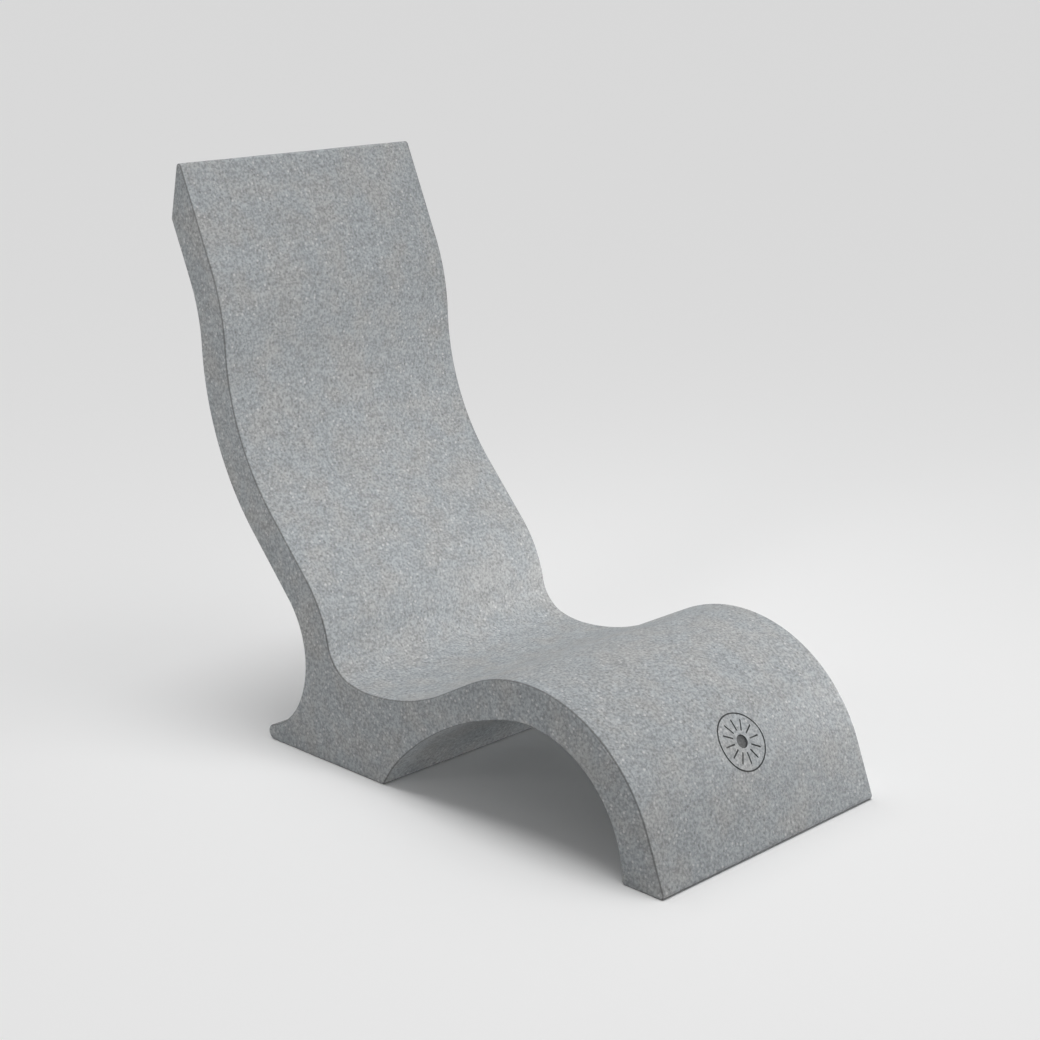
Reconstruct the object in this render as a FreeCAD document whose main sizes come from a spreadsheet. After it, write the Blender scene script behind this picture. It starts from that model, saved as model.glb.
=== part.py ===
import FreeCAD, Part
import math
import os
import Sketcher

# Low poolside lounge chair: one hollow moulded ribbon, bent like a reclining sitter, with two screw-in
# ballast plugs in its rear face. Millimetres, +Z up, the sitter faces -Y, the chair is symmetric about X = 0.

SIZES = {
    # ribbon and shell
    "width": 508.0,
    "thickness": 64.5,
    "wall": 6.5,
    "corner_round": 6.0,
    "edge_round": 3.0,
    # front surface, from the front foot up to the top of the back (sweeps and leans in degrees)
    "calf_lean": 20.9,
    "knee_height": 257.2,
    "thigh_straight": 69.0,
    "thigh_radius": 365.6,
    "seat_height": 147.6,
    "seat_radius": 170.0,
    "seat_sweep": 15.5,
    "bend_radius": 68.5,
    "bend_sweep": 62.5,
    "lumbar_radius": 220.0,
    "lumbar_sweep": 30.2,
    "back_straight": 128.0,
    "shoulder_radius": 403.0,
    "shoulder_sweep": 40.4,
    "head_radius": 357.0,
    "head_sweep": 22.0,
    "head_straight": 194.3,
    "top_cut": 36.4,
    # rear foot and the arch under the legs
    "waist_radius": 154.6,
    "waist_sweep": 43.2,
    "flare_radius": 122.7,
    "nose_radius": 13.2,
    "knee_wrap": 12.9,
    "roof_radius": 496.0,
    "roof_sweep": 31.8,
    "heel_radius": 233.0,
    # engraved emblem on the calf: a disc and rays in a ring
    "emblem_angle": 53.5,
    "emblem_radius": 48.0,
    "emblem_line": 2.5,
    "emblem_depth": 1.0,
    "disc_radius": 11.0,
    "ray_start": 18.0,
    "ray_length": 18.0,
    "ray_count": 12,
    # ballast ports: recess in the shell, moulded-in insert, gasket and screw plug, each around the thread
    "thread_radius": 15.0,
    "thread_depth": 1.6,
    "thread_crest": 1.2,
    "thread_flank": 0.5,
    "thread_gap": 0.3,
    "pitch": 4.0,
    "thread_length": 13.0,
    "neck_length": 1.5,
    "insert_wall": 7.0,
    "insert_overrun": 1.5,
    "collar_step": 3.0,
    "collar_length": 6.0,
    "fit_gap": 0.1,
    "gasket_width": 4.7,
    "gasket_thickness": 2.0,
    "flange_lip": 1.0,
    "flange_thickness": 3.0,
    "grip_inset": 4.0,
    "grip_thickness": 6.0,
    "grip_rise": 3.5,
    "plug_round": 1.0,
    "finger_room": 10.0,
    "plug_sink": 1.0,
}

doc = FreeCAD.newDocument("lounge_chair")
sheet = doc.addObject("Spreadsheet::Sheet", "Sizes")
for row, (alias, value) in enumerate(SIZES.items(), start=1):
    sheet.set("A%d" % row, alias)
    sheet.set("B%d" % row, str(value))
    sheet.setAlias("B%d" % row, alias)
doc.recompute()


def size(alias):
    """The number in the sheet's cell of that alias."""
    return float(sheet.get(alias))


class Dim:
    """A size from the sheet, or worked out from several: its number, and the expression that gives it."""

    def __init__(self, value, text):
        self.value = value
        self.text = text

    def __add__(self, other):
        return Dim(self.value + other.value, "(%s + %s)" % (self.text, other.text))

    def __sub__(self, other):
        return Dim(self.value - other.value, "(%s - %s)" % (self.text, other.text))

    def __mul__(self, other):
        return Dim(self.value * other.value, "%s * %s" % (self.text, other.text))

    def __truediv__(self, other):
        return Dim(self.value / other.value, "%s / %s" % (self.text, other.text))

    def __neg__(self):
        return Dim(-self.value, "(0 - %s)" % self.text)


def cell(alias):
    return Dim(size(alias), "Sizes." + alias)


NOTHING = Dim(0.0, "0")
TWO = Dim(2.0, "2")
SAME_PLACE = 0.01


def sine(degrees):
    return math.sin(math.radians(degrees))


def cosine(degrees):
    return math.cos(math.radians(degrees))


def polar(centre, radius, degrees):
    """The point of a plane at that radius and angle from a centre."""
    return (centre[0] + radius * cosine(degrees), centre[1] + radius * sine(degrees))


def origin_feature(body, role):
    """One of the body's own origin planes or axes, by its role."""
    return next(feature for feature in body.Origin.OriginFeatures if feature.Role == role)


def new_body(name):
    body = doc.addObject("PartDesign::Body", name)
    body.Label = name
    return body


def new_sketch(body, name, role):
    sketch = body.newObject("Sketcher::SketchObject", name)
    sketch.AttachmentSupport = [(origin_feature(body, role), "")]
    sketch.MapMode = "FlatFace"
    return sketch


def bind(sketch, name, dim, kind, *where):
    """Adds a named dimension to a sketch and ties it to the sheet."""
    value = math.radians(dim.value) if kind == "Angle" else dim.value
    index = sketch.addConstraint(Sketcher.Constraint(kind, *where, value))
    sketch.renameConstraint(index, name)
    sketch.setExpression("Constraints." + name, dim.text)


ORIGIN = (-1, 1)
X_AXIS = -1
Y_AXIS = -2
START = 1
END = 2
CENTRE = 3


class Outline:
    """A path of straight lines and arcs in a sketch, drawn one after the other from a place and heading.

    Each piece is tangent to the one before it, unless a corner is turned between them.
    """

    def __init__(self, sketch, place, heading):
        self.sketch = sketch
        self.place = place
        self.heading = heading
        self.centre = None
        self.first = None
        self.last = None
        self.joint = None
        self.corners = []

    def add(self, shape, start, end):
        index = self.sketch.addGeometry(shape, False)
        if self.last:
            self.sketch.addConstraint(Sketcher.Constraint(self.joint, *self.last, index, start))
        else:
            self.first = (index, start)
            self.corners.append(self.place)
        self.last = (index, end)
        self.joint = "Tangent"
        return index

    def line(self, length, name=None):
        """A straight of that length, which is a dimension if it has a name."""
        end = polar(self.place, length.value, self.heading)
        segment = Part.LineSegment(FreeCAD.Vector(*self.place, 0), FreeCAD.Vector(*end, 0))
        index = self.add(segment, START, END)
        if name:
            bind(self.sketch, name, length, "Distance", index)
        self.place = end
        return index

    def arc(self, name, radius, turn, sweep, fixed_sweep=True):
        """An arc to the left for a turn of 1, or to the right for -1."""
        self.centre = polar(self.place, radius.value, self.heading + 90 * turn)
        begin = self.heading - 90 * turn
        finish = begin + sweep.value * turn
        low, high = sorted((math.radians(begin), math.radians(finish)))
        circle = Part.Circle(FreeCAD.Vector(*self.centre, 0), FreeCAD.Vector(0, 0, 1), radius.value)
        ends = (START, END) if turn > 0 else (END, START)
        index = self.add(Part.ArcOfCircle(circle, low, high), *ends)
        bind(self.sketch, name + "_radius", radius, "Radius", index)
        if fixed_sweep:
            bind(self.sketch, name + "_sweep", sweep, "Angle", index)
        self.place = polar(self.centre, radius.value, finish)
        self.heading += sweep.value * turn
        return index

    def closing_arc(self, name, radius, turn, sweep):
        """An arc whose sweep follows from what it meets."""
        return self.arc(name, radius, turn, Dim(sweep, ""), fixed_sweep=False)

    def corner(self, turn):
        self.heading += turn
        self.joint = "Coincident"
        self.corners.append(self.place)

    def close(self):
        self.sketch.addConstraint(Sketcher.Constraint("Coincident", *self.last, *self.first))


def thigh_slope():
    """The slope of the thigh's straight that brings the lowest point of the seat to the seat height."""
    radii = size("knee_height") + size("thigh_radius")
    straight = size("thigh_straight")
    drop = math.acos((size("seat_height") + size("thigh_radius")) / math.hypot(radii, straight))
    return math.degrees(drop - math.atan2(straight, radii))


def draw_side_profile(sketch):
    """The chair's side view, with the knee's centre on the floor at the sketch's origin.

    Returns the corners, and the places on the rear surface where the ports go.
    """
    thickness = cell("thickness")
    knee = cell("knee_height")
    lean = size("calf_lean")
    slope = thigh_slope()

    # front surface, upwards from the front foot
    calf_top = polar((0, 0), knee.value, 180 - lean)
    calf_length = calf_top[1] / cosine(lean)
    front_foot = polar(calf_top, calf_length, 270 - lean)
    path = Outline(sketch, front_foot, 90 - lean)
    calf = path.line(Dim(calf_length, ""))
    knee_arc = path.closing_arc("knee", knee, -1, 90 - lean + slope)
    path.line(cell("thigh_straight"), "thigh_straight")
    thigh = path.closing_arc("thigh", cell("thigh_radius"), 1, slope)
    lowest_seat = path.last
    path.arc("seat", cell("seat_radius"), 1, cell("seat_sweep"))
    path.arc("bend", cell("bend_radius"), 1, cell("bend_sweep"))
    path.arc("lumbar", cell("lumbar_radius"), -1, cell("lumbar_sweep"))
    path.line(cell("back_straight"), "back_straight")
    shoulder = path.arc("shoulder", cell("shoulder_radius"), 1, cell("shoulder_sweep"))
    path.arc("head", cell("head_radius"), -1, cell("head_sweep"))
    head = path.line(cell("head_straight"), "head_straight")

    # end face, cut across the ribbon at the top
    slant = size("top_cut")
    path.corner(slant - 180)
    top_end = path.line(Dim(thickness.value / sine(slant), ""))

    # rear surface, downwards, one thickness behind the front surface
    path.corner(-slant)
    rear_length = size("head_straight") - thickness.value / math.tan(math.radians(slant))
    rear_head = path.line(Dim(rear_length, ""))
    path.arc("rear_head", cell("head_radius") - thickness, 1, cell("head_sweep"))
    shoulder_place = path.place
    rear_shoulder = path.arc("rear_shoulder", cell("shoulder_radius") + thickness, -1, cell("shoulder_sweep"))
    path.line(cell("back_straight"), "rear_straight")
    path.arc("rear_lumbar", cell("lumbar_radius") - thickness, 1, cell("lumbar_sweep"))

    # rear foot: waist, flare, rounded nose and flat base
    path.arc("waist", cell("waist_radius"), 1, cell("waist_sweep"))
    waist_place = (path.centre[0] - size("waist_radius"), path.centre[1])
    flare = cell("flare_radius")
    nose = cell("nose_radius")
    flare_centre = polar(path.place, flare.value, path.heading + 90)
    fall = math.degrees(math.asin((flare_centre[1] - nose.value) / (flare.value + nose.value)))
    path.closing_arc("flare", flare, 1, (fall - 90 - path.heading) % 360)
    path.closing_arc("nose", nose, -1, 180 + path.heading)

    # arch under the legs, worked out from the knee backwards and drawn forwards from the rear foot
    inner = knee - thickness
    wrap = 90 - size("knee_wrap")
    roof = cell("roof_radius")
    heel = cell("heel_radius")
    heel_top = wrap - size("roof_sweep")
    roof_centre = polar((0, 0), inner.value - roof.value, wrap)
    heel_centre = polar(roof_centre, roof.value - heel.value, heel_top)
    heel_foot = -math.degrees(math.asin(heel_centre[1] / heel.value))
    heel_place = polar(heel_centre, heel.value, heel_foot)
    base = path.line(Dim(path.place[0] - heel_place[0], ""))
    path.corner(heel_foot + 90 - path.heading)
    path.closing_arc("heel", heel, 1, heel_top - heel_foot)
    path.arc("roof", roof, 1, cell("roof_sweep"))
    inner_arc = path.arc("inner", inner, 1, Dim(90.0, "90") + cell("knee_wrap"))
    path.corner(-90)
    front_base = path.line(Dim(path.place[0] - front_foot[0], ""))
    path.close()

    # what places the path: knee on the floor at the origin, feet on the floor, leans and one thickness
    for kind, *where in (
        ("Coincident", knee_arc, CENTRE, *ORIGIN),
        ("Coincident", inner_arc, CENTRE, *ORIGIN),
        ("PointOnObject", calf, START, X_AXIS),
        ("PointOnObject", base, START, X_AXIS),
        ("Horizontal", base),
        ("Horizontal", front_base),
        ("Vertical", thigh, CENTRE, *lowest_seat),
        ("Coincident", shoulder, CENTRE, rear_shoulder, CENTRE),
        ("Parallel", head, rear_head),
    ):
        sketch.addConstraint(Sketcher.Constraint(kind, *where))
    bind(sketch, "seat_height", cell("seat_height"), "DistanceY", *ORIGIN, *lowest_seat)
    bind(sketch, "calf_slope", Dim(90.0, "90") - cell("calf_lean"), "Angle", X_AXIS, START, calf, START)
    bind(sketch, "top_cut", cell("top_cut"), "Angle", head, END, top_end, START)
    return path.corners, {"upper": shoulder_place, "lower": waist_place}


def draw_polygon(sketch, corners):
    """A closed polygon whose corners are pairs of Dims, measured from the sketch's origin."""
    points = [FreeCAD.Vector(across.value, up.value, 0) for across, up in corners]
    for start, end in zip(points, points[1:] + points[:1]):
        sketch.addGeometry(Part.LineSegment(start, end), False)
    for index, (across, up) in enumerate(corners):
        before = (index - 1) % len(corners)
        sketch.addConstraint(Sketcher.Constraint("Coincident", before, END, index, START))
        for name, dim, kind, axis in (
            ("across_%d" % index, across, "DistanceX", Y_AXIS),
            ("up_%d" % index, up, "DistanceY", X_AXIS),
        ):
            if dim is NOTHING:
                sketch.addConstraint(Sketcher.Constraint("PointOnObject", index, START, axis))
            else:
                bind(sketch, name, dim, kind, *ORIGIN, index, START)


def turned(body, name, corners):
    """Turns a polygon of (radius, height) corners about the body's Z axis."""
    section = new_sketch(body, name + "_section", "XZ_Plane")
    draw_polygon(section, corners)
    revolution = body.newObject("PartDesign::Revolution", name)
    revolution.Profile = section
    revolution.ReferenceAxis = (origin_feature(body, "Z_Axis"), [""])
    revolution.Angle = 360


def cut_thread(body, name, half_width, inner_radius, outer_radius, middle, run):
    """Cuts a right-hand helical groove, half_width(radius) to each side of its middle, over a run in height."""
    section = new_sketch(body, name + "_section", "XZ_Plane")
    sides = [
        (inner_radius, middle - half_width(inner_radius)),
        (outer_radius, middle - half_width(outer_radius)),
        (outer_radius, middle + half_width(outer_radius)),
        (inner_radius, middle + half_width(inner_radius)),
    ]
    draw_polygon(section, sides)
    doc.recompute()
    helix = body.newObject("PartDesign::SubtractiveHelix", name)
    helix.Profile = section
    helix.ReferenceAxis = (origin_feature(body, "Z_Axis"), [""])
    helix.Mode = "pitch-height-angle"
    helix.LeftHanded = False
    helix.Reversed = False
    helix.setExpression("Pitch", "Sizes.pitch")
    helix.setExpression("Height", run.text)


def edges_where(shape, wanted):
    """Names of the edges whose ends and middle are all wanted."""
    names = []
    for index, edge in enumerate(shape.Edges, start=1):
        middle = edge.valueAt((edge.FirstParameter + edge.LastParameter) / 2)
        if all(wanted(place) for place in [middle] + [vertex.Point for vertex in edge.Vertexes]):
            names.append("Edge%d" % index)
    return names


def round_edges(body, name, base, wanted, radius):
    doc.recompute()
    fillet = body.newObject("PartDesign::Fillet", name)
    fillet.Base = (base, edges_where(base.Shape, wanted))
    fillet.setExpression("Radius", "Sizes." + radius)
    return fillet


# Threads: the plug's ridge is thread_crest wide at its crest and thread_flank wider on each side at its root.
CREST_RADIUS = cell("thread_radius")
ROOT_RADIUS = CREST_RADIUS - cell("thread_depth")

# Port pieces, outwards from the thread: bush and its collar, gasket, flange, and the recess around them.
INSERT_RADIUS = CREST_RADIUS + cell("insert_wall")
INSERT_LENGTH = cell("neck_length") + cell("thread_length") + cell("insert_overrun")
COLLAR_RADIUS = INSERT_RADIUS + cell("collar_step")
GASKET_BORE = CREST_RADIUS + cell("thread_gap")
GASKET_RADIUS = GASKET_BORE + cell("gasket_width")
FLANGE_RADIUS = GASKET_RADIUS + cell("flange_lip")
FLANGE_TOP = cell("gasket_thickness") + cell("flange_thickness")
RECESS_RADIUS = FLANGE_RADIUS + cell("finger_room")
RECESS_DEPTH = FLANGE_TOP + cell("grip_rise") + cell("plug_sink")


def ridge_half_width(radius):
    flank = cell("thread_flank") / cell("thread_depth")
    return cell("thread_crest") / TWO + (CREST_RADIUS - radius) * flank


def groove_half_width(radius):
    """Half the space between two turns of the plug's ridge."""
    return cell("pitch") / TWO - ridge_half_width(radius)


def slot_half_width(radius):
    """Half the insert's groove, which clears the plug's ridge all round."""
    return ridge_half_width(radius) + cell("thread_gap")


def bush_corners(gap):
    """The outside of an insert, upwards, grown by a gap: its collar sits half way along it."""
    collar_low = -(INSERT_LENGTH + cell("collar_length")) / TWO
    collar_high = collar_low + cell("collar_length")
    outside = INSERT_RADIUS + gap
    collar = COLLAR_RADIUS + gap
    return [
        (outside, -INSERT_LENGTH),
        (outside, collar_low - gap),
        (collar, collar_low - gap),
        (collar, collar_high + gap),
        (outside, collar_high + gap),
        (outside, NOTHING),
    ]


# Each port piece is made about its own Z axis, which points out of the shell from the recess's floor.


def make_pocket(name):
    """The space in the shell for an insert, its plug and the fingers that turn it."""
    body = new_body(name)
    mouth = RECESS_DEPTH + cell("thickness")
    below = [(NOTHING, -INSERT_LENGTH)]
    above = [(RECESS_RADIUS, NOTHING), (RECESS_RADIUS, mouth), (NOTHING, mouth)]
    turned(body, name + "_space", below + bush_corners(cell("fit_gap")) + above)
    return body


def make_insert(name):
    """The moulded-in bush: a threaded bore, and a collar that locks it in the shell."""
    body = new_body(name)
    pitch = cell("pitch")
    bore = ROOT_RADIUS + cell("thread_gap")
    turned(body, name + "_bush", [(bore, -INSERT_LENGTH)] + bush_corners(NOTHING) + [(bore, NOTHING)])
    start = -INSERT_LENGTH - pitch
    run = INSERT_LENGTH + pitch * TWO
    cut_thread(body, name + "_thread", slot_half_width, ROOT_RADIUS, GASKET_BORE, start, run)
    return body


def make_gasket(name):
    body = new_body(name)
    top = cell("gasket_thickness")
    corners = [(GASKET_BORE, NOTHING), (GASKET_RADIUS, NOTHING), (GASKET_RADIUS, top), (GASKET_BORE, top)]
    turned(body, name + "_ring", corners)
    return body


def make_plug(name):
    """The screw plug: threaded shank with a lead-in, neck, flange, and a bar to turn it by."""
    body = new_body(name)
    seat = cell("gasket_thickness")
    neck = -cell("neck_length")
    tip = neck - cell("thread_length")
    corners = [
        (NOTHING, tip),
        (ROOT_RADIUS, tip),
        (CREST_RADIUS, tip + cell("thread_depth")),
        (CREST_RADIUS, neck),
        (ROOT_RADIUS, neck),
        (ROOT_RADIUS, seat),
        (FLANGE_RADIUS, seat),
        (FLANGE_RADIUS, FLANGE_TOP),
        (NOTHING, FLANGE_TOP),
    ]
    turned(body, name + "_shank", corners)
    start = -INSERT_LENGTH - cell("pitch") / TWO
    cut_thread(body, name + "_thread", groove_half_width, ROOT_RADIUS, GASKET_BORE, start, -start)
    plan = new_sketch(body, name + "_grip_plan", "XY_Plane")
    plan.setExpression("AttachmentOffset.Base.z", FLANGE_TOP.text)
    long = FLANGE_RADIUS - cell("grip_inset")
    wide = cell("grip_thickness") / TWO
    draw_polygon(plan, [(-long, -wide), (long, -wide), (long, wide), (-long, wide)])
    grip = body.newObject("PartDesign::Pad", name + "_grip")
    grip.Profile = plan
    grip.setExpression("Length", "Sizes.grip_rise")

    def above_flange(place):
        return place.z > FLANGE_TOP.value - SAME_PLACE

    round_edges(body, name + "_rounding", grip, above_flange, "plug_round")
    return body


def solid(kind, name, **dims):
    """A Part feature with its dimensions tied to the sheet."""
    feature = doc.addObject(kind, name)
    for prop, dim in dims.items():
        feature.setExpression(prop, dim.text)
    return feature


def fuse(name, shapes):
    feature = doc.addObject("Part::MultiFuse", name)
    feature.Shapes = shapes
    return feature


def cut(name, base, tool):
    feature = doc.addObject("Part::Cut", name)
    feature.Base = base
    feature.Tool = tool
    return feature


def make_emblem():
    """What the engraving on the calf takes away: ring, disc and rays, down to a cylinder inside the knee."""
    reach = cell("emblem_depth") * TWO
    height = reach * TWO
    angle = size("emblem_angle")
    across, up = polar((0, 0), size("knee_height") - reach.value, 90 + angle)
    tilt = FreeCAD.Rotation(FreeCAD.Vector(1, 0, 0), angle)
    facing = FreeCAD.Placement(FreeCAD.Vector(0, across, up), tilt)
    line = cell("emblem_line")
    rim = solid("Part::Cylinder", "emblem_rim", Radius=cell("emblem_radius"), Height=height)
    hole = solid("Part::Cylinder", "emblem_hole", Radius=cell("emblem_radius") - line, Height=height)
    disc = solid("Part::Cylinder", "emblem_disc", Radius=cell("disc_radius"), Height=height)
    for round_piece in (rim, hole, disc):
        round_piece.Placement = facing
    rays = []
    for number in range(int(size("ray_count"))):
        name = "emblem_ray_%d" % number
        ray = solid("Part::Box", name, Length=cell("ray_length"), Width=line, Height=height)
        turn = FreeCAD.Rotation(FreeCAD.Vector(0, 0, 1), number * 360 / size("ray_count"))
        start = turn.multVec(FreeCAD.Vector(size("ray_start"), -line.value / 2, 0))
        ray.Placement = facing.multiply(FreeCAD.Placement(start, turn))
        rays.append(ray)
    motif = fuse("emblem_motif", [cut("emblem_ring", rim, hole), disc] + rays)
    inside = cell("knee_height") - cell("emblem_depth")
    floor = solid("Part::Cylinder", "emblem_floor", Radius=inside, Height=cell("width"))
    along_x = FreeCAD.Rotation(FreeCAD.Vector(0, 1, 0), 90)
    floor.Placement = FreeCAD.Placement(FreeCAD.Vector(-size("width") / 2, 0, 0), along_x)
    return cut("emblem", motif, floor)


# Casing: the side view across the whole width, with its corners and side edges rounded.
casing = new_body("casing")
side_profile = new_sketch(casing, "side_profile", "YZ_Plane")
corners, port_places = draw_side_profile(side_profile)
ribbon = casing.newObject("PartDesign::Pad", "ribbon")
ribbon.Profile = side_profile
ribbon.SideType = "Symmetric"
ribbon.setExpression("Length", "Sizes.width")


def at_corner(place):
    return any(math.hypot(place.y - y, place.z - z) < SAME_PLACE for y, z in corners)


def at_side(place):
    return abs(abs(place.x) - size("width") / 2) < SAME_PLACE


rounded_corners = round_edges(casing, "rounded_corners", ribbon, at_corner, "corner_round")
round_edges(casing, "rounded_sides", rounded_corners, at_side, "edge_round")

# Ballast space: the same side view one wall further in, where a boss for each port is left standing.
inner_profile = solid("Part::Offset2D", "inner_profile", Value=-cell("wall"))
inner_profile.Source = side_profile
inner_profile.Join = "Arc"
space = solid("Part::Extrusion", "whole_space", LengthFwd=cell("width") - TWO * cell("wall"))
space.Base = inner_profile
space.DirMode = "Custom"
space.Dir = FreeCAD.Vector(1, 0, 0)
space.Symmetric = True
space.Solid = True

OUTWARDS = FreeCAD.Rotation(FreeCAD.Vector(1, 0, 0), -90)


def port_frame(place, depth):
    """At a depth under the rear surface, with the Z axis pointing straight out to the rear."""
    across, up = place
    return FreeCAD.Placement(FreeCAD.Vector(0, across - depth, up), OUTWARDS)


bosses = []
pockets = []
for port, place in port_places.items():
    boss_length = RECESS_DEPTH + INSERT_LENGTH
    boss = solid("Part::Cylinder", port + "_boss", Radius=RECESS_RADIUS + cell("wall"), Height=boss_length)
    boss.Placement = port_frame(place, boss_length.value)
    bosses.append(boss)
    pocket = make_pocket(port + "_port_pocket")
    pocket.Placement = port_frame(place, RECESS_DEPTH.value)
    pockets.append(pocket)
ballast_space = cut("ballast_space", space, fuse("bosses", bosses))

shell = cut("moulded_shell", casing, fuse("hollows", [ballast_space, make_emblem()] + pockets))
doc.recompute()

# The origin is under the middle of the shell, so every kept piece moves by the shell's own middle.
to_origin = FreeCAD.Vector(0, -shell.Shape.optimalBoundingBox(False, False).Center.y, 0)
shell.Placement = FreeCAD.Placement(to_origin, FreeCAD.Rotation())
nodes = [shell]
for port, place in port_places.items():
    for make, piece in ((make_insert, "insert"), (make_gasket, "gasket"), (make_plug, "plug")):
        node = make("%s_port_%s" % (port, piece))
        node.Placement = port_frame(place, RECESS_DEPTH.value)
        node.Placement.move(to_origin)
        nodes.append(node)
doc.recompute()

faults = [thing.Label for thing in doc.Objects if "Invalid" in thing.State or "Error" in thing.State]
faults += [node.Label for node in nodes if node.Shape.isNull() or not node.Shape.isValid()]
if faults:
    raise RuntimeError("these features failed: " + ", ".join(faults))

os.makedirs("parts", exist_ok=True)
for node in nodes:
    node.Shape.exportStep("parts/%s.step" % node.Label)
    box = node.Shape.optimalBoundingBox(False, False)
    print(
        "%-20s %d solid, %.1f cm3, x %.1f..%.1f, y %.1f..%.1f, z %.1f..%.1f"
        % (
            node.Label,
            len(node.Shape.Solids),
            node.Shape.Volume / 1000,
            box.XMin,
            box.XMax,
            box.YMin,
            box.YMax,
            box.ZMin,
            box.ZMax,
        )
    )
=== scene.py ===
import math

import bmesh
import bpy
import numpy as np
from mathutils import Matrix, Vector
from mathutils.noise import noise


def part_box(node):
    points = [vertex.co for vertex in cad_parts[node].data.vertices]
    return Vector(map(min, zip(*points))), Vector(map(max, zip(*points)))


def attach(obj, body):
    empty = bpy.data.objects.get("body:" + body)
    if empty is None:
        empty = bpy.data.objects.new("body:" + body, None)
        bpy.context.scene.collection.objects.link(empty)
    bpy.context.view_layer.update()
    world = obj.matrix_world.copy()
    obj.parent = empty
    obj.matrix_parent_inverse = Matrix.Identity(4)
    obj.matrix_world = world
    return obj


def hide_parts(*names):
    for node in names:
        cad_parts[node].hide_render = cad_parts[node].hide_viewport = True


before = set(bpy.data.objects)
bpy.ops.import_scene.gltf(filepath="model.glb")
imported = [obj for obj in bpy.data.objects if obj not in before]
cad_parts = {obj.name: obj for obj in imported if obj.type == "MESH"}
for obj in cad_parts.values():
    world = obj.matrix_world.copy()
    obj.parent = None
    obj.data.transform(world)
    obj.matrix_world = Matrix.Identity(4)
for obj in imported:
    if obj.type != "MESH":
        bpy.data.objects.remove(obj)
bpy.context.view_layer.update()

SHELL_LOW, SHELL_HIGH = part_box("moulded_shell")

# The side view of the ribbon, in metres and degrees. Each arc is (radius, turn, sweep), and a turn of 1 is
# to the left.
WIDTH = SHELL_HIGH.x - SHELL_LOW.x
THICKNESS = 0.0645
CALF_LEAN = 20.9
KNEE_RADIUS = 0.2572
THIGH_STRAIGHT = 0.069
THIGH_RADIUS = 0.3656
SEAT_HEIGHT = 0.1476
SEAT = (0.170, 1, 15.5)
BEND = (0.0685, 1, 62.5)
LUMBAR = (0.220, -1, 30.2)
BACK_STRAIGHT = 0.128
SHOULDER = (0.403, 1, 40.4)
HEAD = (0.357, -1, 22.0)
HEAD_STRAIGHT = 0.1943
TOP_CUT = 36.4
WAIST = (0.1546, 1, 43.2)
FLARE_RADIUS = 0.1227
NOSE_RADIUS = 0.0132
KNEE_WRAP = 12.9
ROOF = (0.496, 1, 31.8)
HEEL_RADIUS = 0.233
CORNER_ROUND = 0.006
EDGE_ROUND = 0.003

# How finely the ribbon is divided: along it, round its small arcs, across it and round its side edges.
STEP = 0.005
STEP_ANGLE = 5.0
ACROSS = 44
EDGE_STEPS = 6
CORNER_STEPS = 8
SHARP_TURN = 60
MERGE_REACH = 0.00002

# The slight unevenness of the wall, and how far from an edge or a port it takes to come in.
WAVE_HEIGHT = 0.0003
WAVE_LENGTH = 0.11
CALM_EDGE = 0.03
CALM_PORT = 0.04

# Ports: the recess in the rear surface around each plug.
RECESS_RADIUS = 0.031
RIM_ROUND = 0.0025
FLOOR_ROUND = 0.0015
BUSH_HOLE = 0.0221
BUSH_EASE = 0.0005
BUSH_LAND = 0.003
HOLE_DEPTH = 0.0172
PATCH_REACH = 0.046
PATCH_SHARES = (0.3, 0.6, 0.85, 1.0)
RIM_STEPS = 5
FLOOR_STEPS = 4
REAR_FACING = 0.6
REAR_DEPTH = 0.03

# Engraved emblem on the calf.
EMBLEM_ANGLE = 53.5
EMBLEM_RADIUS = 0.048
EMBLEM_LINE = 0.0025
EMBLEM_DEPTH = 0.001
DISC_RADIUS = 0.011
RAY_START = 0.018
RAY_LENGTH = 0.018
RAY_COUNT = 12
RAY_STEPS = 5
TIP_TURNS = (-0.9, -0.45, 0, 0.45, 0.9)
RING_SIDES = 96
DISC_SIDES = 48

# Greys of the materials, how dark the painted shade on the rounding of the side edges is, and how a fleck
# fades.
SHELL_GREY = 0.33
# The engraving's near-black grey is painted shade in its grooves.
ENGRAVING_SHADE_GREY = 0.06
INSERT_GREY = 0.06
PLUG_GREY = 0.075
FLOOR_GREY = 0.93
EDGE_SHADE = 0.62
FLECK_CORE = 0.55
FLECK_FAINTEST = 0.45
SHARP_ANGLE = math.radians(32)


def unit(degrees):
    return np.array([math.cos(math.radians(degrees)), math.sin(math.radians(degrees))])


class Path:
    """A line of points in the side view, drawn as straights, arcs and corners, which are still sharp."""

    def __init__(self, place, heading):
        self.place = np.array(place, float)
        self.heading = heading
        self.points = [self.place.copy()]
        self.corners = []

    def line(self, length):
        steps = max(1, round(length / STEP))
        for share in np.arange(1, steps + 1) / steps:
            self.points.append(self.place + unit(self.heading) * length * share)
        self.place = self.points[-1].copy()

    def arc(self, radius, turn, sweep):
        centre = self.place + unit(self.heading + 90 * turn) * radius
        steps = max(2, round(radius * math.radians(sweep) / STEP), math.ceil(sweep / STEP_ANGLE))
        begin = self.heading - 90 * turn
        for share in np.arange(1, steps + 1) / steps:
            self.points.append(centre + unit(begin + sweep * turn * share) * radius)
        self.heading += sweep * turn
        self.place = self.points[-1].copy()
        return centre

    def corner(self, turn):
        self.corners.append((len(self.points) - 1, self.heading, self.heading + turn))
        self.heading += turn


def thigh_slope():
    """The slope of the thigh's straight that brings the lowest point of the seat to the seat height."""
    radii = KNEE_RADIUS + THIGH_RADIUS
    drop = math.acos((SEAT_HEIGHT + THIGH_RADIUS) / math.hypot(radii, THIGH_STRAIGHT))
    return math.degrees(drop - math.atan2(THIGH_STRAIGHT, radii))


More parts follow.
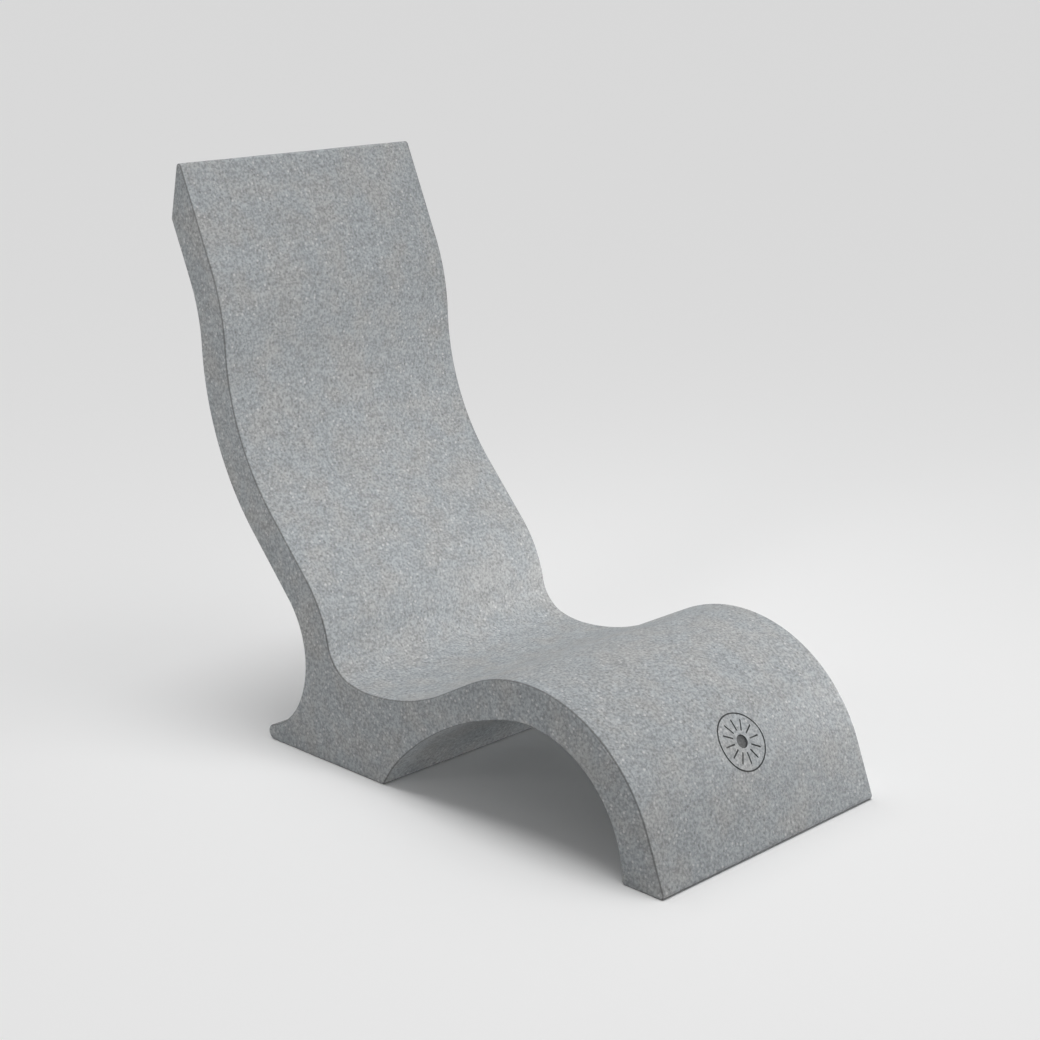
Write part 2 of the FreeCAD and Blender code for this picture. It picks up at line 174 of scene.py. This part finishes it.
def side_path():
    """The side view, with the knee's centre at the origin, and where the ports are on its rear surface."""
    slope = thigh_slope()
    calf_top = unit(180 - CALF_LEAN) * KNEE_RADIUS
    calf_length = calf_top[1] / math.cos(math.radians(CALF_LEAN))
    foot = calf_top - unit(90 - CALF_LEAN) * calf_length
    path = Path(foot, 90 - CALF_LEAN)
    path.line(calf_length)
    path.arc(KNEE_RADIUS, -1, 90 - CALF_LEAN + slope)
    path.line(THIGH_STRAIGHT)
    path.arc(THIGH_RADIUS, 1, slope)
    for bend in (SEAT, BEND, LUMBAR):
        path.arc(*bend)
    path.line(BACK_STRAIGHT)
    path.arc(*SHOULDER)
    path.arc(*HEAD)
    path.line(HEAD_STRAIGHT)
    path.corner(TOP_CUT - 180)
    path.line(THICKNESS / math.sin(math.radians(TOP_CUT)))
    path.corner(-TOP_CUT)
    path.line(HEAD_STRAIGHT - THICKNESS / math.tan(math.radians(TOP_CUT)))
    path.arc(HEAD[0] - THICKNESS, 1, HEAD[2])
    ports = {"upper": path.place.copy()}
    path.arc(SHOULDER[0] + THICKNESS, -1, SHOULDER[2])
    path.line(BACK_STRAIGHT)
    path.arc(LUMBAR[0] - THICKNESS, 1, LUMBAR[2])
    waist_centre = path.arc(*WAIST)
    ports["lower"] = waist_centre - np.array([WAIST[0], 0])
    flare_centre = path.place + unit(path.heading + 90) * FLARE_RADIUS
    fall = math.degrees(math.asin((flare_centre[1] - NOSE_RADIUS) / (FLARE_RADIUS + NOSE_RADIUS)))
    path.arc(FLARE_RADIUS, 1, (fall - 90 - path.heading) % 360)
    path.arc(NOSE_RADIUS, -1, 180 + path.heading)
    inner = KNEE_RADIUS - THICKNESS
    heel_top = 90 - KNEE_WRAP - ROOF[2]
    roof_centre = unit(90 - KNEE_WRAP) * (inner - ROOF[0])
    heel_centre = roof_centre + unit(heel_top) * (ROOF[0] - HEEL_RADIUS)
    heel_foot = -math.degrees(math.asin(heel_centre[1] / HEEL_RADIUS))
    heel_place = heel_centre + unit(heel_foot) * HEEL_RADIUS
    path.line(path.place[0] - heel_place[0])
    path.corner(heel_foot + 90 - path.heading)
    path.arc(HEEL_RADIUS, 1, heel_top - heel_foot)
    path.arc(*ROOF)
    path.arc(inner, 1, 90 + KNEE_WRAP)
    path.corner(-90)
    path.line(path.place[0] - foot[0])
    path.corner(90 - CALF_LEAN + 180)
    return path, ports


def rounded(path):
    """The path's points with its corners rounded, and the headings there.

    The last corner is also the first point.
    """
    points = [tuple(point) for point in path.points[:-1]]
    count = len(points)
    gone = set()
    arcs = {}
    for index, before, after in path.corners:
        index %= count
        turn = (after - before + 180) % 360 - 180
        reach = CORNER_ROUND * math.tan(math.radians(abs(turn) / 2))
        corner = np.array(points[index])
        for way in (-1, 1):
            near = index
            while np.linalg.norm(np.array(points[near % count]) - corner) < reach + STEP / 4:
                gone.add(near % count)
                near += way
        start = corner - unit(before) * reach
        side = 1 if turn > 0 else -1
        centre = start + unit(before + 90 * side) * CORNER_ROUND
        steps = CORNER_STEPS if abs(turn) > SHARP_TURN else CORNER_STEPS // 2 + 1
        arcs[index] = [
            (centre + unit(before - 90 * side + turn * share) * CORNER_ROUND, before + turn * share)
            for share in np.linspace(0, 1, steps + 1)
        ]
    found = []
    for index, point in enumerate(points):
        if index in arcs:
            found.extend(arcs[index])
        elif index not in gone:
            before = np.array(points[(index - 1) % count])
            after = np.array(points[(index + 1) % count])
            run = after - before
            found.append((np.array(point), math.degrees(math.atan2(run[1], run[0]))))
    return np.array([place for place, _ in found]), np.array([heading for _, heading in found])


path, port_places = side_path()
outline, headings = rounded(path)
centring = (SHELL_LOW.y + SHELL_HIGH.y - outline[:, 0].min() - outline[:, 0].max()) / 2
# From the knee's centre as the origin to the frame's own, so it is also where the knee's centre is.
SHIFT = np.array([centring, SHELL_LOW.z])
KNEE = SHIFT
outline += SHIFT
outwards = np.array([unit(heading + 90) for heading in headings])


def columns():
    """The places across the ribbon, each with how far the side edge's rounding draws the outline in."""
    half = WIDTH / 2
    found = []
    for share in np.linspace(0, 1, EDGE_STEPS + 1):
        angle = math.radians(90 * share)
        found.append((-half + EDGE_ROUND * (1 - math.cos(angle)), EDGE_ROUND * (1 - math.sin(angle))))
    inside = np.linspace(-half + EDGE_ROUND, half - EDGE_ROUND, ACROSS + 1)[1:-1]
    return found + [(x, 0.0) for x in inside] + [(-x, inset) for x, inset in reversed(found)]


def smooth(value, low, high):
    share = min(1.0, max(0.0, (value - low) / (high - low)))
    return share * share * (3 - 2 * share)


def wave(x, place, inset, port_heights):
    """The unevenness of a moulded wall, which dies away at the edges, at the floor and round the ports."""
    calm = smooth(WIDTH / 2 - abs(x), 0.0, CALM_EDGE) * smooth(place[1], 0.0, CALM_EDGE) * (inset == 0.0)
    for height in port_heights:
        calm *= smooth(math.hypot(x, place[1] - height), PATCH_REACH, PATCH_REACH + CALM_PORT)
    return WAVE_HEIGHT * calm * noise(Vector((x, place[0], place[1])) / WAVE_LENGTH)


def port_patch(bm, grid, across, port, floor):
    """Puts a round recess with a rounded rim into the rear surface, in place of the quads around it."""
    mid = port_places[port][1] + SHIFT[1]
    near = abs(outline[:, 1] - mid) < PATCH_REACH
    rear = (outwards[:, 0] > REAR_FACING) & (abs(outline[:, 0] - floor) < REAR_DEPTH)
    rows = [row for row in range(len(outline)) if near[row] and rear[row]]
    low, high = min(rows), max(rows)
    wide = [column for column, (x, _) in enumerate(across) if abs(x) < PATCH_REACH]
    left, right = min(wide), max(wide)
    heights = outline[low - 2 : high + 3, 1][::-1]
    depths = outline[low - 2 : high + 3, 0][::-1]

    def surface(z):
        return float(np.interp(z, heights, depths))

    loop = [grid[low][column] for column in range(left, right)]
    loop += [grid[row][right] for row in range(low, high)]
    loop += [grid[high][column] for column in range(right, left, -1)]
    loop += [grid[row][left] for row in range(high, low, -1)]
    for row in range(low, high):
        for column in range(left, right):
            shared = set(grid[row][column].link_faces) & set(grid[row + 1][column + 1].link_faces)
            for face in shared:
                bm.faces.remove(face)
    for row in range(low + 1, high):
        for column in range(left + 1, right):
            bm.verts.remove(grid[row][column])

    angles = [math.atan2(vert.co.z - mid, vert.co.x) for vert in loop]
    outer = [(vert.co.x, vert.co.z - mid) for vert in loop]
    rim = RECESS_RADIUS + RIM_ROUND
    rings = []
    for share in PATCH_SHARES:
        ring = []
        for (x, up), angle in zip(outer, angles):
            x = x + (rim * math.cos(angle) - x) * share
            up = up + (rim * math.sin(angle) - up) * share
            ring.append((x, surface(mid + up), mid + up))
        rings.append(ring)

    def circle(radius, depth):
        found = []
        for angle in angles:
            z = mid + radius * math.sin(angle)
            found.append((radius * math.cos(angle), depth(z), z))
        return found

    def flat(level):
        return lambda z: level

    for share in np.linspace(0, 1, RIM_STEPS + 1)[1:]:
        turn = math.radians(90 * share)
        drop = RIM_ROUND * (1 - math.cos(turn))
        rings.append(circle(rim - RIM_ROUND * math.sin(turn), lambda z, drop=drop: surface(z) - drop))
    for share in np.linspace(0, 1, FLOOR_STEPS + 1):
        turn = math.radians(90 * share)
        level = floor + FLOOR_ROUND * (1 - math.sin(turn))
        rings.append(circle(RECESS_RADIUS - FLOOR_ROUND * (1 - math.cos(turn)), flat(level)))
    for radius, level in (
        (BUSH_HOLE + BUSH_LAND, floor),
        (BUSH_HOLE + BUSH_EASE, floor),
        (BUSH_HOLE, floor - BUSH_EASE),
        (BUSH_HOLE, floor - HOLE_DEPTH),
    ):
        rings.append(circle(radius, flat(level)))

    inner = loop
    for ring in rings:
        verts = [bm.verts.new(place) for place in ring]
        for index, vert in enumerate(verts):
            after = (index + 1) % len(verts)
            bm.faces.new((inner[index], inner[after], verts[after], vert))
        inner = verts
    bm.faces.new(inner)


def stamp(bm, corners):
    """The low and high ends of a prism that stands through the calf's surface, wrapped round the knee."""
    rings = []
    for radius in (KNEE_RADIUS - EMBLEM_DEPTH, KNEE_RADIUS + 2 * EMBLEM_DEPTH):
        ring = []
        for x, up in corners:
            place = KNEE + unit(90 + EMBLEM_ANGLE - math.degrees(up / KNEE_RADIUS)) * radius
            ring.append(bm.verts.new((x, place[0], place[1])))
        rings.append(ring)
    return rings


def emblem_cutter():
    """A ring, a disc and rays, as one mesh of closed prisms."""
    bm = bmesh.new()

    def walls(low, high):
        for index in range(len(low)):
            after = (index + 1) % len(low)
            bm.faces.new((low[index], low[after], high[after], high[index]))

    def circle(radius, count):
        angles = np.arange(count) * 2 * math.pi / count
        return [(radius * math.cos(angle), radius * math.sin(angle)) for angle in angles]

    def prism(corners):
        low, high = stamp(bm, corners)
        walls(low, high)
        bm.faces.new(low)
        bm.faces.new(high)

    outer_low, outer_high = stamp(bm, circle(EMBLEM_RADIUS, RING_SIDES))
    inner_low, inner_high = stamp(bm, circle(EMBLEM_RADIUS - EMBLEM_LINE, RING_SIDES))
    walls(outer_low, outer_high)
    walls(inner_low, inner_high)
    for index in range(RING_SIDES):
        after = (index + 1) % RING_SIDES
        bm.faces.new((outer_low[index], outer_low[after], inner_low[after], inner_low[index]))
        bm.faces.new((outer_high[index], outer_high[after], inner_high[after], inner_high[index]))
    prism(circle(DISC_RADIUS, DISC_SIDES))
    half = EMBLEM_LINE / 2
    for number in range(RAY_COUNT):
        way = unit(number * 360 / RAY_COUNT)
        side = np.array([-way[1], way[0]])
        steps = np.linspace(RAY_START, RAY_START + RAY_LENGTH, RAY_STEPS)
        corners = [tuple(way * along - side * half) for along in steps]
        tip = way * (RAY_START + RAY_LENGTH)
        for turn in TIP_TURNS:
            corners.append(tuple(tip + way * half * math.cos(turn) + side * half * math.sin(turn)))
        corners += [tuple(way * along + side * half) for along in reversed(steps)]
        prism(corners)
    bmesh.ops.recalc_face_normals(bm, faces=bm.faces)
    mesh = bpy.data.meshes.new("emblem_cutter")
    bm.to_mesh(mesh)
    bm.free()
    cutter = bpy.data.objects.new("emblem_cutter", mesh)
    bpy.context.scene.collection.objects.link(cutter)
    return cutter


def apply_modifiers(piece):
    """The piece's mesh as its modifiers make it, with the modifiers gone."""
    bpy.context.view_layer.update()
    made = bpy.data.meshes.new_from_object(piece.evaluated_get(bpy.context.evaluated_depsgraph_get()))
    old = piece.data
    piece.modifiers.clear()
    piece.data = made
    bpy.data.meshes.remove(old)


def make_shell():
    bm = bmesh.new()
    across = columns()
    port_heights = [place[1] + SHIFT[1] for place in port_places.values()]
    grid = []
    for place, out in zip(outline, outwards):
        row = []
        for x, inset in across:
            spot = place - out * (inset - wave(x, place, inset, port_heights))
            row.append(bm.verts.new((x, spot[0], spot[1])))
        grid.append(row)
    for index, here in enumerate(grid):
        there = grid[(index + 1) % len(grid)]
        for column in range(len(across) - 1):
            bm.faces.new((here[column], here[column + 1], there[column + 1], there[column]))
    bm.faces.new([row[0] for row in grid])
    bm.faces.new([row[-1] for row in grid])
    for port in ("upper", "lower"):
        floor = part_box(port + "_port_gasket")[0].y
        port_patch(bm, grid, across, port, floor)
    bmesh.ops.remove_doubles(bm, verts=bm.verts, dist=MERGE_REACH)
    bmesh.ops.triangulate(bm, faces=[face for face in bm.faces if len(face.verts) > 4])
    bmesh.ops.recalc_face_normals(bm, faces=bm.faces)
    mesh = bpy.data.meshes.new("stone_look_ribbon")
    bm.to_mesh(mesh)
    bm.free()
    shell = bpy.data.objects.new("stone_look_ribbon", mesh)
    bpy.context.scene.collection.objects.link(shell)
    return shell


# Materials ----------------------------------------------------------------------------------------


class Shader:
    """Builds a material's nodes: every input is a plain value or another node's output."""

    def __init__(self, name):
        self.material = bpy.data.materials.new(name)
        self.material.use_nodes = True
        self.tree = self.material.node_tree
        self.tree.nodes.clear()
        self.place = self.node("ShaderNodeTexCoord").outputs["Object"]

    def node(self, kind, inputs=(), **props):
        made = self.tree.nodes.new(kind)
        for name, value in props.items():
            setattr(made, name, value)
        for key, value in dict(inputs).items():
            if isinstance(value, bpy.types.NodeSocket):
                self.tree.links.new(value, made.inputs[key])
            else:
                made.inputs[key].default_value = value
        return made

    def noise(self, scale, detail=2.0, roughness=0.5, place=None):
        inputs = {"Vector": place or self.place, "Scale": scale, "Detail": detail, "Roughness": roughness}
        return self.node("ShaderNodeTexNoise", inputs).outputs["Fac"]

    def math(self, operation, first, second=0.0, third=0.0):
        return self.node("ShaderNodeMath", {0: first, 1: second, 2: third}, operation=operation).outputs[0]

    def spread(self, value, low, high, new_low=0.0, new_high=1.0):
        inputs = {"Value": value, "From Min": low, "From Max": high, "To Min": new_low, "To Max": new_high}
        return self.node("ShaderNodeMapRange", inputs, interpolation_type="SMOOTHSTEP").outputs["Result"]

    def mix(self, factor, first, second, blend="MIX"):
        made = self.node("ShaderNodeMix", data_type="RGBA", blend_type=blend)
        sockets = (made.inputs["Factor"], made.inputs[6], made.inputs[7])
        for socket, value in zip(sockets, (factor, first, second)):
            if isinstance(value, bpy.types.NodeSocket):
                self.tree.links.new(value, socket)
            else:
                socket.default_value = value
        return made.outputs[2]

    def shift(self, amount):
        return self.node("ShaderNodeVectorMath", {0: self.place, 1: amount}, operation="ADD").outputs[0]

    def flecks(self, per_metre, radius, share, amount):
        """Round flecks of that radius in cells, in a share of the cells, shifted by that amount."""
        inputs = {"Vector": self.shift(amount), "Scale": per_metre, "Randomness": 1.0}
        cells = self.node("ShaderNodeTexVoronoi", inputs)
        chosen = self.node("ShaderNodeSeparateColor", {"Color": cells.outputs["Color"]})
        disc = self.spread(cells.outputs["Distance"], radius * FLECK_CORE, radius, 1.0, 0.0)
        picked = self.math("LESS_THAN", chosen.outputs[0], share)
        strength = self.spread(chosen.outputs[1], 0.0, 1.0, FLECK_FAINTEST, 1.0)
        return self.math("MULTIPLY", self.math("MULTIPLY", disc, picked), strength)

    def finish(self, height=None, distance=0.0, strength=1.0, **inputs):
        values = {key.replace("_", " "): value for key, value in inputs.items()}
        surface = self.node("ShaderNodeBsdfPrincipled", values)
        if height is not None:
            relief = {"Height": height, "Distance": distance, "Strength": strength}
            bump = self.node("ShaderNodeBump", relief)
            self.tree.links.new(bump.outputs["Normal"], surface.inputs["Normal"])
        output = self.node("ShaderNodeOutputMaterial")
        self.tree.links.new(surface.outputs["BSDF"], output.inputs["Surface"])
        return self.material


def grey(value, tint=(0.0, 0.0, 0.0)):
    return tuple(value * (1 + shade) for shade in tint) + (1.0,)


def stone_look(name, base):
    """Grey polyethylene with the fine light and dark flecks and soft mottles of granite."""
    shader = Shader(name)
    patch = shader.noise(14.0, 4.0, 0.65)
    warm = shader.spread(patch, 0.38, 0.66)
    cool_grey = grey(base * 0.98, (-0.06, 0.0, 0.035))
    warm_grey = grey(base, (-0.015, 0.0, -0.005))
    colour = shader.mix(warm, cool_grey, warm_grey)
    mottle = shader.noise(38.0, 2.0, 0.5, shader.shift((3.1, 1.7, 0.4)))
    blotch = shader.spread(mottle, 0.3, 0.7, 0.95, 1.05)
    grain = shader.spread(shader.noise(210.0, 3.0, 0.6), 0.30, 0.70, 0.74, 1.26)
    shade = shader.math("MULTIPLY", blotch, grain)
    tone = shader.node("ShaderNodeCombineColor", {0: shade, 1: shade, 2: shade}).outputs[0]
    colour = shader.mix(1.0, colour, tone, "MULTIPLY")
    dark = shader.flecks(140.0, 0.36, 0.45, (0.31, 0.77, 0.13))
    light = shader.flecks(120.0, 0.32, 0.36, (0.53, 0.19, 0.71))
    colour = shader.mix(shader.math("MULTIPLY", dark, 0.55), colour, grey(base * 0.4, (-0.02, 0.0, 0.03)))
    colour = shader.mix(shader.math("MULTIPLY", light, 0.58), colour, grey(base * 1.9, (0.01, 0.0, 0.0)))
    # Painted shade: a dark band on the rounding of the side edges, which stops short of the flat side.
    across = shader.math("ABSOLUTE", shader.node("ShaderNodeSeparateXYZ", {0: shader.place}).outputs[0])
    rounding = shader.spread(across, WIDTH / 2 - EDGE_ROUND, WIDTH / 2 - EDGE_ROUND / 2)
    side = shader.spread(across, WIDTH / 2 - EDGE_ROUND / 6, WIDTH / 2 - EDGE_ROUND / 30)
    edge = shader.math("MULTIPLY", shader.math("SUBTRACT", rounding, side), EDGE_SHADE)
    colour = shader.mix(edge, colour, grey(base * 0.3))
    rough = shader.spread(shader.noise(60.0, 3.0, 0.6), 0.3, 0.7, 0.50, 0.64)
    fine = shader.noise(700.0, 2.0, 0.6)
    coarse = shader.math("MULTIPLY", shader.noise(120.0, 2.0), 1.5)
    pores = shader.math("ADD", fine, coarse)
    return shader.finish(pores, 0.00035, 0.6, Base_Color=colour, Roughness=rough, Specular_IOR_Level=0.4)


def moulded_plastic(name, base, rough):
    """Injection-moulded plastic: an even colour with faint flow marks, and a fine spark-eroded skin."""
    shader = Shader(name)
    flow = shader.spread(shader.noise(55.0, 4.0, 0.6), 0.3, 0.7)
    colour = shader.mix(flow, grey(base * 0.88), grey(base * 1.12, (0.0, 0.0, 0.02)))
    scuff = shader.spread(shader.noise(420.0, 3.0, 0.7), 0.62, 0.74)
    colour = shader.mix(shader.math("MULTIPLY", scuff, 0.25), colour, grey(base * 2.2))
    gloss = shader.spread(shader.noise(90.0, 3.0, 0.6), 0.3, 0.7, rough - 0.06, rough + 0.08)
    skin = shader.noise(1500.0, 2.0, 0.7)
    return shader.finish(skin, 0.00012, 0.6, Base_Color=colour, Roughness=gloss, Specular_IOR_Level=0.5)


def rubber(name):
    shader = Shader(name)
    bloom = shader.spread(shader.noise(160.0, 4.0, 0.65), 0.35, 0.7)
    colour = shader.mix(bloom, grey(0.012), grey(0.03, (0.02, 0.0, 0.0)))
    skin = shader.noise(2200.0, 2.0, 0.6)
    rough = shader.spread(bloom, 0.0, 1.0, 0.62, 0.8)
    return shader.finish(skin, 0.0001, 0.7, Base_Color=colour, Roughness=rough, Specular_IOR_Level=0.35)


def pale_floor(name):
    return Shader(name).finish(Base_Color=grey(FLOOR_GREY), Roughness=0.9, Specular_IOR_Level=0.1)


# The object ---------------------------------------------------------------------------------------


def engrave(shell):
    """Cuts the emblem into the calf."""
    cutter = emblem_cutter()
    carve = shell.modifiers.new("emblem", "BOOLEAN")
    carve.operation = "DIFFERENCE"
    carve.solver = "EXACT"
    carve.object = cutter
    apply_modifiers(shell)
    bpy.data.meshes.remove(cutter.data)


def even_normals(shell):
    """Smooth shading in which the normals of the large faces count the most."""
    shell.data.shade_smooth()
    shell.data.set_sharp_from_angle(angle=SHARP_ANGLE)
    even = shell.modifiers.new("even_normals", "WEIGHTED_NORMAL")
    even.keep_sharp = True
    even.weight = 50
    apply_modifiers(shell)


def paint_shell(shell):
    """Gives the shell its material, and the engraving's sunk faces a near-black copy of it, as painted shade
    in the grooves.
    """
    shell.data.materials.clear()
    shell.data.materials.append(stone_look("stone_look_polyethylene", SHELL_GREY))
    # Painted shade: the engraving's grooves get a near-black copy of the stone look.
    shell.data.materials.append(stone_look("stone_look_engraving_shade", ENGRAVING_SHADE_GREY))
    for face in shell.data.polygons:
        reach = math.hypot(face.center.y - KNEE[0], face.center.z - KNEE[1])
        forward = face.center.y < KNEE[0] and abs(face.center.x) < EMBLEM_RADIUS * 1.1
        if forward and KNEE_RADIUS - 1.5 * EMBLEM_DEPTH < reach < KNEE_RADIUS - EMBLEM_DEPTH / 3:
            face.material_index = 1


shell = make_shell()
engrave(shell)
even_normals(shell)
paint_shell(shell)
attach(shell, "shell")
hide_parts("moulded_shell")

finishes = {
    "insert": moulded_plastic("insert_plastic", INSERT_GREY, 0.45),
    "plug": moulded_plastic("plug_plastic", PLUG_GREY, 0.38),
    "gasket": rubber("gasket_rubber"),
}
for name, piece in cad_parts.items():
    for kind, material in finishes.items():
        if name.endswith(kind):
            piece.data.materials.clear()
            piece.data.materials.append(material)

# The stage ----------------------------------------------------------------------------------------

FLOOR_HALF = 60.0
CAMERA_PLACE = Vector((-2.34084, -2.32190, 1.34874))
CAMERA_AIM = Vector((-0.00739, -0.02142, 0.40825))
CAMERA_LENS = 72.83
CAMERA_SENSOR = 36.0
CAMERA_FAR = 500.0
WORLD_STRENGTH = 0.31
SUN_ANGLE = math.radians(30)


def make_floor():
    mesh = bpy.data.meshes.new("studio_floor")
    half = FLOOR_HALF
    corners = [(-half, -half, 0), (half, -half, 0), (half, half, 0), (-half, half, 0)]
    mesh.from_pydata(corners, [], [(0, 1, 2, 3)])
    floor = bpy.data.objects.new("studio_floor", mesh)
    bpy.context.scene.collection.objects.link(floor)
    mesh.materials.append(pale_floor("studio_floor"))


def add_light(name, kind, towards, energy, place=(0.0, 0.0, 3.0), **props):
    """A light at that place that shines in that direction."""
    data = bpy.data.lights.new(name, kind)
    data.energy = energy
    for key, value in props.items():
        setattr(data, key, value)
    light = bpy.data.objects.new(name, data)
    bpy.context.scene.collection.objects.link(light)
    light.location = place
    light.rotation_euler = Vector(towards).to_track_quat("-Z", "Y").to_euler()
    return light


def set_world(strength):
    world = bpy.data.worlds.new("studio")
    world.use_nodes = True
    background = world.node_tree.nodes["Background"]
    background.inputs["Color"].default_value = (1.0, 1.0, 1.0, 1.0)
    background.inputs["Strength"].default_value = strength
    bpy.context.scene.world = world


def set_camera():
    data = bpy.data.cameras.new("camera")
    data.sensor_width = CAMERA_SENSOR
    data.lens = CAMERA_LENS
    data.clip_end = CAMERA_FAR
    camera = bpy.data.objects.new("camera", data)
    bpy.context.scene.collection.objects.link(camera)
    camera.location = CAMERA_PLACE
    camera.rotation_euler = (CAMERA_AIM - CAMERA_PLACE).to_track_quat("-Z", "Y").to_euler()
    bpy.context.scene.camera = camera


make_floor()
set_world(WORLD_STRENGTH)
add_light("overhead", "SUN", (0.0, 0.0, -1.0), 1.04, angle=SUN_ANGLE)
add_light("from_rear", "SUN", (0.0, -0.6, -1.0), 0.42, angle=SUN_ANGLE)
add_light("key", "AREA", (-0.1, 0.2, -1.0), 8.2, place=(0.35, -0.45, 2.3), shape="SQUARE", size=1.2)
narrow = {"shape": "SQUARE", "spread": math.radians(35)}
add_light("low_front", "AREA", (-0.2, 1.0, -0.35), 0.02, place=(0.3, -1.5, 0.85), size=0.4, **narrow)
add_light("left_side", "AREA", (1.0, 0.1, -0.5), 0.40, place=(-2.0, 0.2, 1.5), size=0.6, **narrow)
# A low fill from the right reaches under the knees. It is out of sight and lights only the shell, so that it
# leaves no patch on the floor beside it.
under_knees = {"shape": "RECTANGLE", "size": 0.8, "size_y": 0.5, "spread": math.radians(60)}
fill = add_light("right_fill", "AREA", (-1.0, 0.3, -0.1), 4.9, (1.7, -0.6, 0.32), **under_knees)
fill.visible_camera = False
lit_by_fill = bpy.data.collections.new("lit_by_fill")
lit_by_fill.objects.link(shell)
fill.light_linking.receiver_collection = lit_by_fill
set_camera()
bpy.context.scene.view_settings.view_transform = "Standard"
